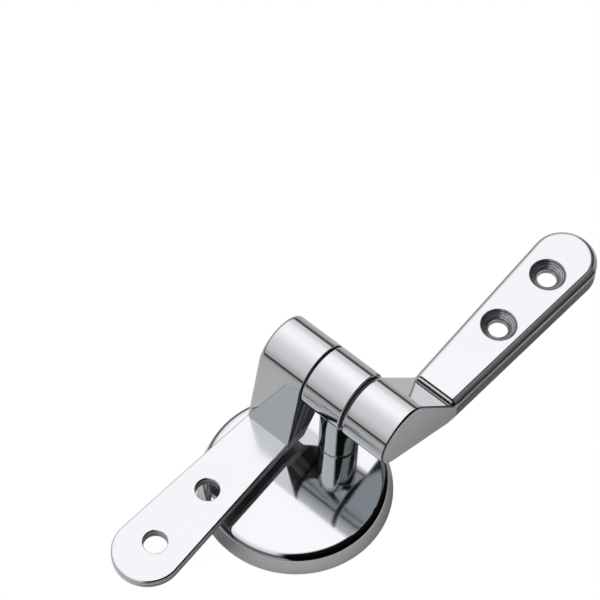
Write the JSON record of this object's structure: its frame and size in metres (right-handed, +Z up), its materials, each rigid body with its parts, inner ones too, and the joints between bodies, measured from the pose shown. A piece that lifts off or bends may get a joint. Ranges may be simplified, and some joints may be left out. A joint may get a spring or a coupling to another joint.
{
  "type": "toilet seat hinge",
  "caption": "Chromed toilet seat hinge: round eccentric base with a post, and a flat seat leaf and a countersunk lid bar turning on one pin through the barrel.",
  "frame": {"origin": "middle of the round base, on the surface it stands on (the axis of the fixing stud's hole)", "axes": "+X along the hinge pin towards the lid bar's side, +Y to the rear of the toilet (the lid bar folded back lies along it), +Z up"},
  "size_m": [0.05, 0.1486, 0.0402],
  "materials": {
    "chrome_disc": "polished chrome plate on die-cast zinc",
    "chrome_post": "polished chrome plate on die-cast zinc",
    "chrome_leaf": "polished chrome plate on die-cast zinc",
    "steel": "bright turned steel",
    "bush_nylon": "black moulded nylon",
    "gasket_rubber": "soft black rubber"
  },
  "bodies": {
    "base": {"base_disc": "chrome_disc", "base_gasket": "gasket_rubber"},
    "post": {"hinge_post": "chrome_post", "post_screw": "steel", "post_spring_washer": "steel", "hinge_pin": "steel"},
    "seat": {"seat_leaf": "chrome_leaf", "seat_bush": "bush_nylon"},
    "lid": {"lid_leaf": "chrome_leaf", "lid_bush": "bush_nylon"}
  },
  "joints": [
    {"name": "base_swivel", "type": "hinge", "parent": "base", "child": "post", "pos_m": [0.0016, 0.015, 0.0059], "axis": [0, 0, 1], "continuous": true},
    {"name": "seat_hinge", "type": "hinge", "parent": "post", "child": "seat", "pos_m": [0.0016, 0.015, 0.03175], "axis": [-1, 0, 0], "range_deg": [-3, 110]},
    {"name": "lid_hinge", "type": "hinge", "parent": "post", "child": "lid", "pos_m": [0.0016, 0.015, 0.03175], "axis": [1, 0, 0], "range_deg": [-8, 180]}
  ]
}
